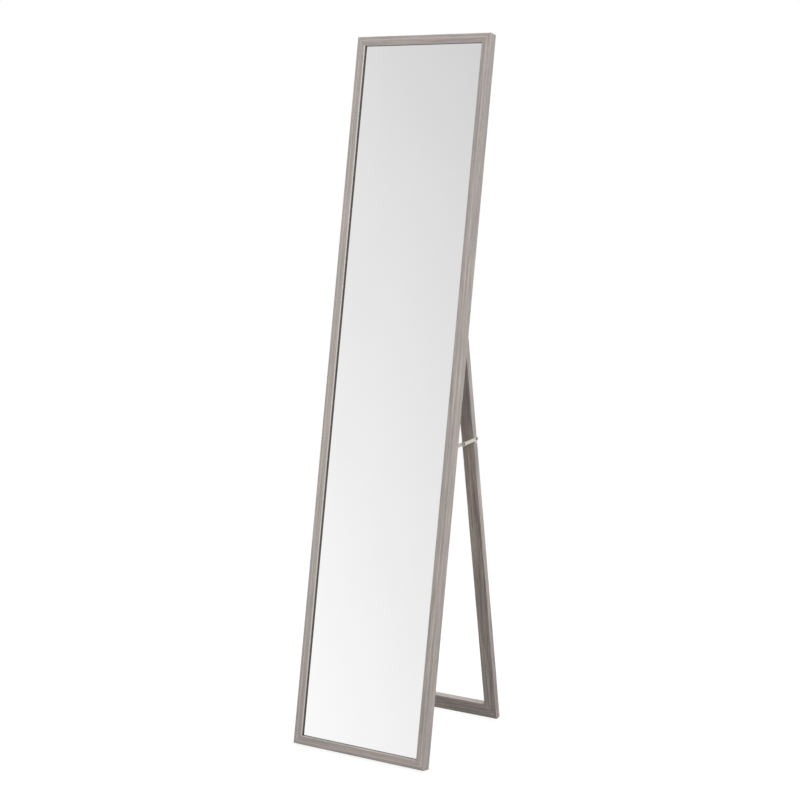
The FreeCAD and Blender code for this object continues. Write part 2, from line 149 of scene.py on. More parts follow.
# Rises smoothly from 0 to 1, or between the two ends given, as the value passes from low to high
def ease(tree, value, low, high, start=0.0, end=1.0):
    inputs = {"Value": value, "From Min": low, "From Max": high, "To Min": start, "To Max": end}
    return addNode(tree, "ShaderNodeMapRange", inputs, interpolation_type="SMOOTHSTEP").outputs[0]


# 1 within reach of a place, fading to 0 over the blur beyond it
def band(tree, value, place, reach, blur):
    away = calc(tree, "ABSOLUTE", minus(tree, value, place))
    return ease(tree, away, reach, reach + blur, 1.0, 0.0)


def mixColour(tree, factor, a, b, blend="MIX"):
    node = addNode(tree, "ShaderNodeMix", data_type="RGBA", blend_type=blend)
    plug(tree, factor, node.inputs[0])
    plug(tree, a, node.inputs[6])
    plug(tree, b, node.inputs[7])
    return node.outputs[2]


# A colour made lighter or darker by a share
def scaled(tree, colour, share):
    return addNode(tree, "ShaderNodeVectorMath", {0: colour, "Scale": share}, operation="SCALE").outputs[0]


def splitPlace(tree, place):
    return addNode(tree, "ShaderNodeSeparateXYZ", {0: place}).outputs


def noise(tree, vector, detail=2.0, roughness=0.5):
    inputs = {"Vector": vector, "Scale": 1.0, "Detail": detail, "Roughness": roughness}
    return addNode(tree, "ShaderNodeTexNoise", inputs).outputs[0]


# Noise stretched to so many repeats a metre across and along, and moved by an offset
def layer(tree, vector, across, along, shift=0.0, detail=2.0, roughness=0.5):
    inputs = {"Vector": vector, "Scale": (across, across, along), "Location": (shift, shift, shift)}
    placed = addNode(tree, "ShaderNodeMapping", inputs).outputs[0]
    return noise(tree, placed, detail, roughness)


# Each kind of socket has a list of the names it is given
def newGroup(name, inputs, outputs):
    tree = bpy.data.node_groups.new(name, "ShaderNodeTree")
    kinds = {"vector": "NodeSocketVector", "value": "NodeSocketFloat", "colour": "NodeSocketColor"}
    for direction, sockets in (("INPUT", inputs), ("OUTPUT", outputs)):
        for kind, labels in sockets.items():
            for label in labels:
                tree.interface.new_socket(name=label, in_out=direction, socket_type=kinds[kind])
    source = tree.nodes.new("NodeGroupInput").outputs
    drain = tree.nodes.new("NodeGroupOutput").inputs
    return tree, source, drain


def useGroup(tree, group, inputs):
    return addNode(tree, "ShaderNodeGroup", inputs, node_tree=group).outputs


# In the settings below a noise is its repeats a metre across and along, offset, detail and roughness,
# and a ramp is the two values between which it changes, and then its two ends where they aren't 0 and 1.

grainMix = {
    "wander": (9, 2.2, 0.0, 1),
    "sway": 0.006,  # how far the streaks wander sideways
    "noises": {
        "cool": (110, 6, 3.1),
        "beige": (190, 8.5, 7.7),
        "line": (330, 8, 1.3, 2, 0.6),
        "fine": (760, 16, 4.6, 2, 0.6),
        "hair": (2100, 38, 5.9, 2, 0.6),
        "pore": (1150, 55, 2.2, 2, 0.7),
        "finePore": (3000, 105, 6.6, 1, 0.6),
    },
    "drift": (12, 2.2, 9.4, 1),
    "ramps": {
        "cool": (0.40, 0.60),
        "beige": (0.50, 0.66, 0.0, 0.9),
        "line": (0.33, 0.67, -0.13, 0.13),
        "fine": (0.3, 0.7, -0.09, 0.09),
        "hair": (0.3, 0.7, -0.07, 0.07),
        "drift": (0.3, 0.7, -0.04, 0.04),
        "pore": (0.59, 0.69, 0.0, 0.6),
        "finePore": (0.60, 0.68, 0.0, 0.5),
    },
    "relief": (0.3, 0.7, 0.0, 0.5),  # how far the finest streaks stand up
}


# Printed foil with long streaks of warm, beige and cool grey, and short dark pores
def makeFoilGrain():
    inputs = {"vector": ["Vector"], "colour": ["Warm", "Beige", "Cool", "Pore"], "value": ["Contrast"]}
    tree, source, drain = newGroup("foilGrain", inputs, {"colour": ["Color"], "value": ["Height"]})
    place = source["Vector"]
    wander = layer(tree, place, *grainMix["wander"])
    sway = times(tree, minus(tree, wander, 0.5), grainMix["sway"])
    bent = addNode(tree, "ShaderNodeVectorMath", {0: place, 1: sway}, operation="ADD").outputs[0]
    noises = {label: layer(tree, bent, *settings) for label, settings in grainMix["noises"].items()}
    noises["drift"] = layer(tree, place, *grainMix["drift"])
    ramps = {label: ease(tree, noises[label], *settings) for label, settings in grainMix["ramps"].items()}
    tone = mixColour(tree, ramps["cool"], source["Warm"], source["Cool"])
    tone = mixColour(tree, ramps["beige"], tone, source["Beige"])
    light = ramps["line"]
    for label in ("fine", "hair", "drift"):
        light = calc(tree, "ADD", light, ramps[label])
    gain = calc(tree, "MULTIPLY_ADD", light, source["Contrast"], 1.0)
    pore = calc(tree, "MAXIMUM", ramps["pore"], ramps["finePore"])
    plug(tree, mixColour(tree, pore, scaled(tree, tone, gain), source["Pore"]), drain["Color"])
    plug(tree, minus(tree, ease(tree, noises["hair"], *grainMix["relief"]), pore), drain["Height"])
    return tree


# Ramps on the distance in from the frame's outer edge, except where a note says otherwise. Behind means back
# from the frame's face.
mouldingRamps = {
    "onFace": (0.0012, 0.0006),  # behind
    "chamfer": (-0.0003, 0.0002),  # in from where the chamfer starts
    "chamferBehind": (0.0021, 0.0018),  # behind
    "arris": (0.0011, 0.0004),
    "arrisBehind": (0.0018, 0.0010),  # behind
    "side": (0.0006, 0.0001),
    "lip": (-0.0002, -0.0001),  # in from the inner edge
    "lipBehind": (0.0017, 0.0021),  # behind
    # Darker towards the lower edge
    "lowEdgeDark": (0.0034, 0.0014),  # up from the lower edge
}
mouldingLimits = {
    "creaseReach": 0.0005, "creaseBlur": 0.0011, "jointReach": 0.00008, "jointBlur": 0.00012,
    # The arris share and the two chamfer shares set how much painted highlight those edges get; the right
    # stile's chamfer faces away from the fill light
    "arrisShare": 0.12,
    "rightChamfer": 0.12, "lowChamfer": 0.35,  # how pale the chamfer is on the right stile and the bottom rail
    "lowRail": 0.1,  # a rail below this height is the bottom one
    "wrap": 0.0035, "wrapRagged": 0.0016, "wrapNoise": (90, 90),  # the foil laps round the back so far
    "back": -0.00035, "stripSlack": 0.0002, "lipSlack": 0.0001,
}


# Where the frame's moulding has painted highlights, painted light on its sides, a darker lower edge,
# a dark wall or a bare back, from the distance in from its outer edge
def makeMouldingMarks():
    sizes = ["Half Width", "Length", "Depth", "Band", "Face", "Chamfer", "Strip", "Lip"]
    outputs = {"value": ["CreaseHighlight", "EdgeHighlight", "Wall", "Bare", "Joint", "LowEdgeDark", "Side"]}
    tree, source, drain = newGroup("mouldingMarks", {"vector": ["Position"], "value": sizes}, outputs)
    limits = mouldingLimits
    split = splitPlace(tree, source["Position"])
    fromSide = minus(tree, source["Half Width"], calc(tree, "ABSOLUTE", split["X"]))
    fromEnd = calc(tree, "MINIMUM", split["Z"], minus(tree, source["Length"], split["Z"]))
    inward = calc(tree, "MINIMUM", fromSide, fromEnd)
    apart = minus(tree, fromSide, fromEnd)
    behind = calc(tree, "ADD", split["Y"], source["Depth"])
    toChamfer = minus(tree, inward, minus(tree, source["Face"], source["Chamfer"]))
    measured = {
        "chamfer": toChamfer, "lip": minus(tree, inward, source["Face"]),
        "arris": inward, "side": inward, "lowEdgeDark": split["Z"],
    }
    ramps = {label: ease(tree, measured.get(label, behind), *ends) for label, ends in mouldingRamps.items()}

    # Painted highlights: a fine line along the crease, the inner chamfer and the outer arris
    crease = band(tree, inward, source["Band"], limits["creaseReach"], limits["creaseBlur"])
    chamfer = times(tree, ramps["chamfer"], ramps["chamferBehind"])
    onRight = times(tree, above(tree, split["X"], 0.0), below(tree, apart, 0.0))
    onLow = times(tree, above(tree, apart, 0.0), below(tree, split["Z"], limits["lowRail"]))
    chamfer = times(tree, chamfer, shareWhere(tree, onRight, limits["rightChamfer"]))
    chamfer = times(tree, chamfer, shareWhere(tree, onLow, limits["lowChamfer"]))
    arris = times(tree, times(tree, ramps["arris"], ramps["arrisBehind"]), limits["arrisShare"])

    ragged = times(tree, layer(tree, source["Position"], *limits["wrapNoise"]), limits["wrapRagged"])
    beyondWrap = above(tree, minus(tree, inward, ragged), limits["wrap"])
    onBack = times(tree, above(tree, split["Y"], limits["back"]), beyondWrap)
    pastStrip = above(tree, inward, minus(tree, source["Strip"], limits["stripSlack"]))
    behindLip = above(tree, behind, minus(tree, source["Lip"], limits["lipSlack"]))

    plug(tree, times(tree, crease, ramps["onFace"]), drain["CreaseHighlight"])
    plug(tree, calc(tree, "MAXIMUM", chamfer, arris), drain["EdgeHighlight"])
    plug(tree, times(tree, ramps["lip"], ramps["lipBehind"]), drain["Wall"])
    plug(tree, calc(tree, "MAXIMUM", onBack, times(tree, pastStrip, behindLip)), drain["Bare"])
    plug(tree, band(tree, apart, 0.0, limits["jointReach"], limits["jointBlur"]), drain["Joint"])
    plug(tree, ramps["lowEdgeDark"], drain["LowEdgeDark"])
    plug(tree, ramps["side"], drain["Side"])
    return tree


metal = {
    "scratchDetail": 3, "scratchRoughness": 0.65, "scratchRamp": (0.3, 0.7),
    "cloud": (160, 160, 4.4, 3), "cloudRamp": (0.35, 0.65),
    "speck": (1900, 1900, 8.1, 1), "speckRamp": (0.68, 0.76),
    "dirt": screenColour(96, 88, 80), "dirtShare": 0.5,
    "bump": 0.00003, "bumpStrength": 0.4,
}


# Fine scratches one way, cloudy patches and a few specks, for plated steel
def makeMetalWear():
    inputs = {"vector": ["Vector"], "value": ["Along", "Across"]}
    tree, source, drain = newGroup("metalWear", inputs, {"value": ["Scratch", "Cloud", "Speck"]})
    axes = {0: source["Across"], 1: source["Along"], 2: source["Across"]}
    scale = addNode(tree, "ShaderNodeCombineXYZ", axes).outputs[0]
    ready = {0: source["Vector"], 1: scale}
    brushed = addNode(tree, "ShaderNodeVectorMath", ready, operation="MULTIPLY").outputs[0]
    scratch = noise(tree, brushed, metal["scratchDetail"], metal["scratchRoughness"])
    cloud = layer(tree, source["Vector"], *metal["cloud"])
    speck = layer(tree, source["Vector"], *metal["speck"])
    plug(tree, ease(tree, scratch, *metal["scratchRamp"]), drain["Scratch"])
    plug(tree, ease(tree, cloud, *metal["cloudRamp"]), drain["Cloud"])
    plug(tree, ease(tree, speck, *metal["speckRamp"]), drain["Speck"])
    return tree


foilGrain = makeFoilGrain()
mouldingMarks = makeMouldingMarks()
metalWear = makeMetalWear()


def newMaterial(name, **constants):
    material = bpy.data.materials.new(name)
    material.use_nodes = True
    tree = material.node_tree
    shader = tree.nodes["Principled BSDF"]
    for label, value in constants.items():
        shader.inputs[label].default_value = value
    return material, tree, shader


# Object coordinates in a part's own axes
def partPlace(tree, part):
    toLocal = parts[part].inverted()
    here = addNode(tree, "ShaderNodeTexCoord").outputs["Object"]
    inputs = {"Vector": here, "Rotation": toLocal.to_euler(), "Location": toLocal.translation}
    return addNode(tree, "ShaderNodeMapping", inputs).outputs[0]


# The same place with z along the member, so that its streaks run that way, and moved to another stretch
def memberPlace(tree, place, along, shift):
    turn = 90 if along == "across" else 0
    inputs = {"Vector": place, "Rotation": (0, math.radians(turn), 0), "Location": shift}
    return addNode(tree, "ShaderNodeMapping", inputs).outputs[0]


def addBump(tree, shader, height, distance, strength=0.5):
    inputs = {"Height": height, "Distance": distance, "Strength": strength}
    plug(tree, addNode(tree, "ShaderNodeBump", inputs).outputs[0], shader.inputs["Normal"])


# Printed foil on the frame and the stand

foil = {
    "warm": screenColour(171, 160, 155),
    "beige": screenColour(173, 164, 153),
    "cool": screenColour(162, 157, 152),
    "pore": screenColour(125, 116, 110),
    # The pale colour of the painted highlights on the crease, chamfer and arris
    "edge": screenColour(206, 200, 195),
    "wall": screenColour(62, 57, 53),
    "joint": screenColour(112, 103, 96),
    "bare": screenColour(176, 150, 118),
    "contrast": 1.05,
    # Painted light: the moulding's sides are made lighter than its face by this share
    "side": 1.08,  # the side's tone against the face
    "shares": {"CreaseHighlight": 0.35, "EdgeHighlight": 0.6, "LowEdgeDark": 0.5, "Wall": 1.0, "Bare": 1.0, "Joint": 0.7},
    "fibre": (900, 900, 2.6, 3, 0.7), "fibreRamp": (0.3, 0.7, 0.0, 0.5),
    "roughness": 0.42, "bareRoughness": 0.85,
    "bump": 0.00012, "jointDepth": 2.0, "fibreDepth": 1.5,
}


# The grain of one strip of foil, with its own tint and contrast, so that one member is a little lighter,
# darker or redder than the next
def foilGrainOf(tree, place, paper, strip):
    grainInputs = {
        "Vector": memberPlace(tree, place, strip["along"], strip["shift"]),
        "Contrast": paper["contrast"] * strip["contrast"],
    }
    for label in ("Warm", "Beige", "Cool", "Pore"):
        tinted = [level * share for level, share in zip(paper[label.lower()], strip["tint"])]
        grainInputs[label] = (*tinted, 1.0)
    return useGroup(tree, foilGrain, grainInputs)


# The colour changed by height. Part is painted shade: darker towards the floor, where less light falls,
# and darker up the legs under the mirror, where part of the cooler hue is the foil's own. The stiles are
# also darker and cooler towards their tops. Each fade has two heights and the tint at each
def heightShadedColour(tree, place, grain, strip):
    height = splitPlace(tree, place)["Z"]
    colour = grain["Color"]
    for low, high, lowTint, highTint in strip["fades"]:
        tint = mixColour(tree, ease(tree, height, low, high), (*lowTint, 1.0), (*highTint, 1.0))
        colour = mixColour(tree, 1.0, colour, tint, "MULTIPLY")
    return colour


# The moulding's own sizes: where its fine line and its inner edge lie, the chamfer's width, the outer strip's
# width and the lip's thickness
moulding = {"Band": 0.0074, "Face": 0.0194, "Chamfer": 0.0020, "Strip": 0.0100, "Lip": 0.0059}


# The frame's foil: painted highlights on the crease, chamfer and arris, painted light on the sides,
# a darker lower edge, a dark wall down to the glass, and bare fibre where the foil ends
def frameFoil(name, strip):
    material, tree, shader = newMaterial(name)
    place = partPlace(tree, "mirror")
    sizes = {"Half Width": stileHigh.x, "Length": stileHigh.z, "Depth": -stileLow.y}
    marks = useGroup(tree, mouldingMarks, {"Position": place, **sizes, **moulding})
    grain = foilGrainOf(tree, place, foil, strip)
    fibre = layer(tree, place, *foil["fibre"])
    bare = mixColour(tree, ease(tree, fibre, *foil["fibreRamp"]), foil["bare"], foil["pore"])
    colour = heightShadedColour(tree, place, grain, strip)
    # Painted light on the sides
    colour = scaled(tree, colour, shareWhere(tree, marks["Side"], foil["side"]))
    # Painted highlights and a darker lower edge, then the dark wall, bare fibre and dark joints
    stainsAndHighlights = {
        "CreaseHighlight": foil["edge"], "EdgeHighlight": foil["edge"], "LowEdgeDark": foil["pore"],
        "Wall": foil["wall"], "Bare": bare, "Joint": foil["joint"],
    }
    for label, overColour in stainsAndHighlights.items():
        colour = mixColour(tree, times(tree, marks[label], foil["shares"][label]), colour, overColour)
    plug(tree, colour, shader.inputs["Base Color"])
    gloss = ease(tree, marks["Bare"], 0, 1, foil["roughness"], foil["bareRoughness"])
    plug(tree, gloss, shader.inputs["Roughness"])
    height = minus(tree, grain["Height"], times(tree, marks["Joint"], foil["jointDepth"]))
    bareHeight = times(tree, times(tree, fibre, marks["Bare"]), foil["fibreDepth"])
    addBump(tree, shader, calc(tree, "ADD", height, bareHeight), foil["bump"])
    return material


stand = {
    "warm": screenColour(167, 155, 151),
    "beige": screenColour(167, 157, 150),
    "cool": screenColour(157, 152, 148),
    "pore": screenColour(111, 103, 99),
    "contrast": 1.8,
    "legWidth": 0.029, "barHeight": 0.032,
    # Painted shade: the legs' outer sides darker than their fronts
    "sideShade": (0.0006, 0.0001, 1.0, 0.91),  # in from the outer side
    # Darker towards the lower edge, in the pores' colour
    "lowEdgeDark": (0.0036, 0.0012, 0.0, 0.5),  # up from the lower edge
    "jointReach": 0.0001, "jointBlur": 0.00012,
    "roughness": (-1, 1, 0.50, 0.38),  # duller in the pores
}


# The stand's foil: the same paper, with a mitre line at each corner, painted shade on the legs' outer sides,
# and darker towards the lower edge
def standFoil(name, strip):
    material, tree, shader = newMaterial(name)
    place = partPlace(tree, "stand")
    grain = foilGrainOf(tree, place, stand, strip)
    split = splitPlace(tree, place)
    fromSide = minus(tree, legHigh.x, calc(tree, "ABSOLUTE", split["X"]))
    fromEnd = calc(tree, "MINIMUM", split["Z"], minus(tree, legHigh.z, split["Z"]))
    apart = minus(tree, fromSide, times(tree, fromEnd, stand["legWidth"] / stand["barHeight"]))
    joint = band(tree, apart, 0.0, stand["jointReach"], stand["jointBlur"])
    colour = heightShadedColour(tree, place, grain, strip)
    # Painted shade on the outer sides
    colour = scaled(tree, colour, ease(tree, fromSide, *stand["sideShade"]))
    colour = mixColour(tree, ease(tree, split["Z"], *stand["lowEdgeDark"]), colour, stand["pore"])
    colour = mixColour(tree, times(tree, joint, foil["shares"]["Joint"]), colour, foil["joint"])
    plug(tree, colour, shader.inputs["Base Color"])
    plug(tree, ease(tree, grain["Height"], *stand["roughness"]), shader.inputs["Roughness"])
    height = minus(tree, grain["Height"], times(tree, joint, foil["jointDepth"]))
    addBump(tree, shader, height, foil["bump"])
    return material


# Mirror glass

silver = {
    "colour": (0.955, 0.957, 0.955, 1.0), "dull": (0.938, 0.941, 0.94, 1.0), "lipShadeColour": (0.80, 0.79, 0.77, 1.0),
    "haze": (5, 3, 1.7, 3), "hazeRamp": (0.35, 0.7),
    "smudge": (38, 16, 6.2, 4, 0.6), "smudgeRoughness": (0.55, 0.85, 0.0, 0.012),
    "lipShade": (0.004, 0.0, 0.0, 0.4), "lipShadePatches": (0.3, 0.7, 0.4, 1.0),  # painted shade of the rebate on the glass along the lip, in patches
}


def mirrorSilver():
    material, tree, shader = newMaterial("mirrorSilver", Metallic=1.0)
    place = partPlace(tree, "mirror")
    haze = layer(tree, place, *silver["haze"])
    colour = mixColour(tree, ease(tree, haze, *silver["hazeRamp"]), silver["colour"], silver["dull"])
    split = splitPlace(tree, place)
    sightHalf = stileHigh.x - moulding["Face"]
    fromLip = minus(tree, sightHalf, calc(tree, "ABSOLUTE", split["X"]))
    fromLip = calc(tree, "MINIMUM", fromLip, minus(tree, split["Z"], moulding["Face"]))
    # Painted shade of the rebate on the glass next to the lip, on the sides and the bottom, in patches
    lipShade = ease(tree, fromLip, *silver["lipShade"])
    lipShade = times(tree, lipShade, ease(tree, haze, *silver["lipShadePatches"]))
    plug(tree, mixColour(tree, lipShade, colour, silver["lipShadeColour"]), shader.inputs["Base Color"])
    smudge = layer(tree, place, *silver["smudge"])
    plug(tree, ease(tree, smudge, *silver["smudgeRoughness"]), shader.inputs["Roughness"])
    return material


# Back board

board = {
    "brown": screenColour(169, 153, 135),
    "dark": screenColour(147, 130, 112),
    "pale": screenColour(192, 177, 158),
    "clumps": (620, 540, 0.4, 4, 0.65), "clumpRamp": (0.3, 0.7),
    "flecks": (1500, 420, 3.3, 3, 0.7), "fleckRamp": (0.54, 0.70, 0.0, 0.6),
    "clouds": (7, 6, 5.5, 3), "cloudRamp": (0.3, 0.7, 0.0, 0.25),
    "wirePitch": 0.0021, "wireDepth": 0.25, "roughness": 0.72, "bump": 0.00015,
}


# Hardboard: pressed fibres, with the faint grid of the press screen
def hardboardBack():
    material, tree, shader = newMaterial("hardboardBack", Roughness=board["roughness"])
    place = partPlace(tree, "mirror")
    fleck = layer(tree, place, *board["flecks"])
    clumps = ease(tree, layer(tree, place, *board["clumps"]), *board["clumpRamp"])
    clouds = ease(tree, layer(tree, place, *board["clouds"]), *board["cloudRamp"])
    colour = mixColour(tree, clumps, board["brown"], board["dark"])
    colour = mixColour(tree, ease(tree, fleck, *board["fleckRamp"]), colour, board["pale"])
    colour = mixColour(tree, clouds, colour, board["dark"])
    plug(tree, colour, shader.inputs["Base Color"])
    split = splitPlace(tree, place)
    turns = 2 * math.pi / board["wirePitch"]
    wires = [calc(tree, "SINE", times(tree, split[axis], turns)) for axis in ("X", "Z")]
    screen = times(tree, calc(tree, "ADD", wires[0], wires[1]), board["wireDepth"])
    addBump(tree, shader, calc(tree, "ADD", screen, fleck), board["bump"])
    return material


# Hinge rail

pine = {
    "early": screenColour(207, 182, 147),
    "late": screenColour(182, 151, 113),
    "grey": screenColour(188, 172, 148),
    "shift": (0.37, 0.11, 0.53),
    "wander": (22, 1.6, 2.0), "wanderBy": 26.0, "ringTurns": 1500.0, "ringRamp": (0.35, 0.95, 0.0, 0.8),
    "fibre": (1300, 18, 7.0, 3, 0.65), "fibreRamp": (0.4, 0.7, 0.0, 0.4),
    "sawPitch": 0.0032, "sawDepth": 0.15, "roughness": 0.68, "bump": 0.0001,
}


# Planed pine with growth rings cut along their length, and faint saw marks
def rawPine():
    material, tree, shader = newMaterial("rawPine", Roughness=pine["roughness"])
    place = memberPlace(tree, partPlace(tree, "mirror"), "across", pine["shift"])
    split = splitPlace(tree, place)
    wander = times(tree, layer(tree, place, *pine["wander"]), pine["wanderBy"])
    rings = calc(tree, "MULTIPLY_ADD", split["X"], pine["ringTurns"], wander)
    ring = calc(tree, "MULTIPLY_ADD", calc(tree, "SINE", rings), 0.5, 0.5)
    fibre = layer(tree, place, *pine["fibre"])
    colour = mixColour(tree, ease(tree, ring, *pine["ringRamp"]), pine["early"], pine["late"])
    colour = mixColour(tree, ease(tree, fibre, *pine["fibreRamp"]), colour, pine["grey"])
    plug(tree, colour, shader.inputs["Base Color"])
    saw = calc(tree, "SINE", times(tree, split["Z"], 2 * math.pi / pine["sawPitch"]))
    addBump(tree, shader, calc(tree, "MULTIPLY_ADD", saw, pine["sawDepth"], fibre), pine["bump"])
    return material


# Hinges, stays, screws and nails. The grain is repeats a metre across and along the scratches.

plating = {
    "satinNickel": {
        "colour": (233, 226, 213), "cloud": (227, 219, 206), "rough": (0.30, 0.44), "grain": (3200, 160),
    },
    "dullNickel": {
        "colour": (213, 208, 201), "cloud": (207, 201, 194), "rough": (0.34, 0.48), "grain": (3200, 160),
    },
    "zincSteel": {
        "colour": (214, 213, 208), "cloud": (190, 190, 184), "rough": (0.28, 0.45), "grain": (2400, 300),
    },
    "rivetSteel": {
        "colour": (146, 138, 130), "cloud": (112, 105, 98), "rough": (0.36, 0.52), "grain": (1800, 1800),
    },
}


def platedSteel(name):
    settings = plating[name]
    material, tree, shader = newMaterial(name, Metallic=1.0)
    across, along = settings["grain"]
    inputs = {"Vector": partPlace(tree, "mirror"), "Along": along, "Across": across}
    wear = useGroup(tree, metalWear, inputs)
    colour = mixColour(tree, wear["Cloud"], screenColour(*settings["colour"]), screenColour(*settings["cloud"]))
    colour = mixColour(tree, times(tree, wear["Speck"], metal["dirtShare"]), colour, metal["dirt"])
    plug(tree, colour, shader.inputs["Base Color"])
    clean, rubbed = settings["rough"]
    plug(tree, ease(tree, wear["Scratch"], 0, 1, clean, rubbed), shader.inputs["Roughness"])
    addBump(tree, shader, wear["Scratch"], metal["bump"], metal["bumpStrength"])
    return material


# One strip of foil for each member, or pair of legs

plainTint = (1.0, 1.0, 1.0)
# The fades below change each strip's colour by height, in part as painted shade
frameStrips = {
    "leftStileFoil": {
        "along": "up", "shift": (0, 0, 0), "tint": (1.03, 1.03, 1.03), "contrast": 0.75,
        "fades": [
            (0.10, 0.36, (0.86, 0.86, 0.86), plainTint),
            (1.28, 1.46, plainTint, (0.93, 0.94, 0.95)),
        ],
    },
    "rightStileFoil": {
        "along": "up", "shift": (0, 0, 0), "tint": (0.905, 0.897, 0.90), "contrast": 1.15,
        "fades": [
            (0.14, 0.36, (0.97, 0.97, 0.97), plainTint),
            (0.80, 1.45, plainTint, (0.885, 0.90, 0.925)),
        ],
    },
    "topRailFoil": {
        "along": "across", "shift": (0.37, 0.11, 0.53), "tint": (0.905, 0.865, 0.89), "contrast": 0.9,
        "fades": [],
    },
    "bottomRailFoil": {
        "along": "across", "shift": (0.37, 0.11, 0.53), "tint": (0.935, 0.905, 0.91), "contrast": 0.9,
        "fades": [],
    },
}
standStrips = {
    "legFoil": {
        "along": "up", "shift": (0.213, 0, 0), "tint": (1.155, 1.15, 1.14), "contrast": 1.2,
        "fades": [
            (0.14, 0.44, (0.89, 0.89, 0.88), (1.11, 1.11, 1.11)),
            (0.60, 0.72, plainTint, (0.84, 0.87, 0.90)),
        ],
    },
    "topBarFoil": {
        "along": "across", "shift": (1.13, 0.47, 0.83), "tint": (1.08, 1.08, 1.08), "contrast": 0.8,
        "fades": [],
    },
    "bottomBarFoil": {
        "along": "across", "shift": (1.33, 0.47, 0.83), "tint": (1.05, 1.035, 1.02), "contrast": 0.95,
        "fades": [],
    },
}
materials = {
    **{name: frameFoil(name, strip) for name, strip in frameStrips.items()},
    **{name: standFoil(name, strip) for name, strip in standStrips.items()},
    "mirrorSilver": mirrorSilver(),
    "hardboardBack": hardboardBack(),
    "rawPine": rawPine(),
    **{name: platedSteel(name) for name in plating},
}
print("materials made:", len(materials))


def paint(thing, materialName):
    thing.data.materials.clear()
    thing.data.materials.append(materials[materialName])


nodeFinishes = {
    "leftStileFoil": ("frame_stile_left",),
    "rightStileFoil": ("frame_stile_right",),
    "topRailFoil": ("frame_rail_top",),
    "bottomRailFoil": ("frame_rail_bottom",),
    "legFoil": ("stand_leg_left", "stand_leg_right"),
    "topBarFoil": ("stand_top_bar",),
    "bottomBarFoil": ("stand_bottom_bar",),
    "mirrorSilver": ("mirror_glass",),
    "hardboardBack": ("back_board",),
    "rawPine": ("hinge_rail",),
    "zincSteel": ("frame_corner_nails", "stand_corner_nails", "board_points"),
}
for finish, names in nodeFinishes.items():
    for name in names:
        paint(nodes[name], finish)
print("wood, glass, board and nails finished")


# New pieces that stand for a node

def addPiece(name, mesh, nodeName, materialName):
    piece = bpy.data.objects.new(name, mesh)
    bpy.context.scene.collection.objects.link(piece)
    paint(piece, materialName)
    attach(piece, nodes[nodeName]["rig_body"])
    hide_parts(nodeName)
    return piece


meshing = {
    "weld": 0.000002, "flatAngle": 0.5, "sharpAngle": 35, "segments": 2,
    "platedSmooth": 40, "screwSmooth": 30,  # edges are shaded smooth below this angle
}


# A node's mesh, which is loose triangles, with its shared points joined
def weldedMesh(nodeName):
    bm = bmesh.new()
    bm.from_mesh(nodes[nodeName].data)
    bmesh.ops.remove_doubles(bm, verts=bm.verts, dist=meshing["weld"])
    return bm


def meshFrom(bm, name, smoothBelow):
    for face in bm.faces:
        face.smooth = True
    for edge in bm.edges:
        if len(edge.link_faces) == 2:
            edge.smooth = edge.calc_face_angle(0) < math.radians(smoothBelow)
    mesh = bpy.data.meshes.new(name)
    bm.to_mesh(mesh)
    bm.free()
    return mesh


# A copy of a node with its sharp edges rounded off, as tumbled and plated metal has
def softenedCopy(name, nodeName, materialName, width):
    bm = weldedMesh(nodeName)
    flat, least = math.radians(meshing["flatAngle"]), math.radians(meshing["sharpAngle"])
    bmesh.ops.dissolve_limit(bm, angle_limit=flat, verts=bm.verts, edges=bm.edges, delimit=set())
    sharp = [e for e in bm.edges if len(e.link_faces) == 2 and e.calc_face_angle(0) > least]
    bmesh.ops.bevel(bm, geom=sharp, offset=width, offset_type="OFFSET", affect="EDGES",
                    segments=meshing["segments"], profile=0.5, material=-1, clamp_overlap=True)
    return addPiece(name, meshFrom(bm, name, meshing["platedSmooth"]), nodeName, materialName)


softened = [
    {"nodes": "front_link", "finish": "dullNickel", "slot": "satin_nickel", "width": 0.00022},
    {"nodes": "rear_link", "finish": "satinNickel", "slot": "satin_nickel", "width": 0.00022},
    {"nodes": "stay_frame_bracket", "finish": "dullNickel", "slot": "satin_nickel", "width": 0.00018},
    {"nodes": "stay_stand_bracket", "finish": "dullNickel", "slot": "satin_nickel", "width": 0.00018},
    {"nodes": "frame_rivet", "finish": "rivetSteel", "slot": "rivet_steel", "width": 0.00022},
    {"nodes": "stand_rivet", "finish": "rivetSteel", "slot": "rivet_steel", "width": 0.00022},
    {"nodes": "knuckle_rivet_head", "finish": "rivetSteel", "slot": "rivet_steel", "width": 0.00022},
    {"nodes": "knuckle_rivet_tail", "finish": "rivetSteel", "slot": "rivet_steel", "width": 0.00022},
    {"nodes": "hinge_frame_leaf", "finish": "zincSteel", "slot": "zinc_steel", "width": 0.00015},
    {"nodes": "hinge_stand_leaf", "finish": "zincSteel", "slot": "zinc_steel", "width": 0.00015},
    {"nodes": "hinge_pin", "finish": "rivetSteel", "slot": "zinc_steel", "width": 0.00012},
]
for row in softened:
    for side in ("left", "right"):
        nodeName = row["nodes"] + "_" + side
        softenedCopy(nodeName + "_plated", nodeName, row["finish"], row["width"])
softenedCopy("hinge_rail_staples_wire", "hinge_rail_staples", "zincSteel", 0.00012)
print("hinges, stays and staples rounded off")


# Cross-head screws

screw = {
    "headRadius": 0.0024, "shankRadius": 0.0013, "tipLength": 0.0022, "tipRadius": 0.00012,
    "crossArm": 0.00145, "crossWidth": 0.00058, "crossDepth": 0.00115, "crossTaper": 0.62,
    "firstSpin": 37, "nextSpin": 71,  # no two slots of a set stand alike
    "leastPoints": 12,  # a loose piece of a node with no more than these is no screw
}


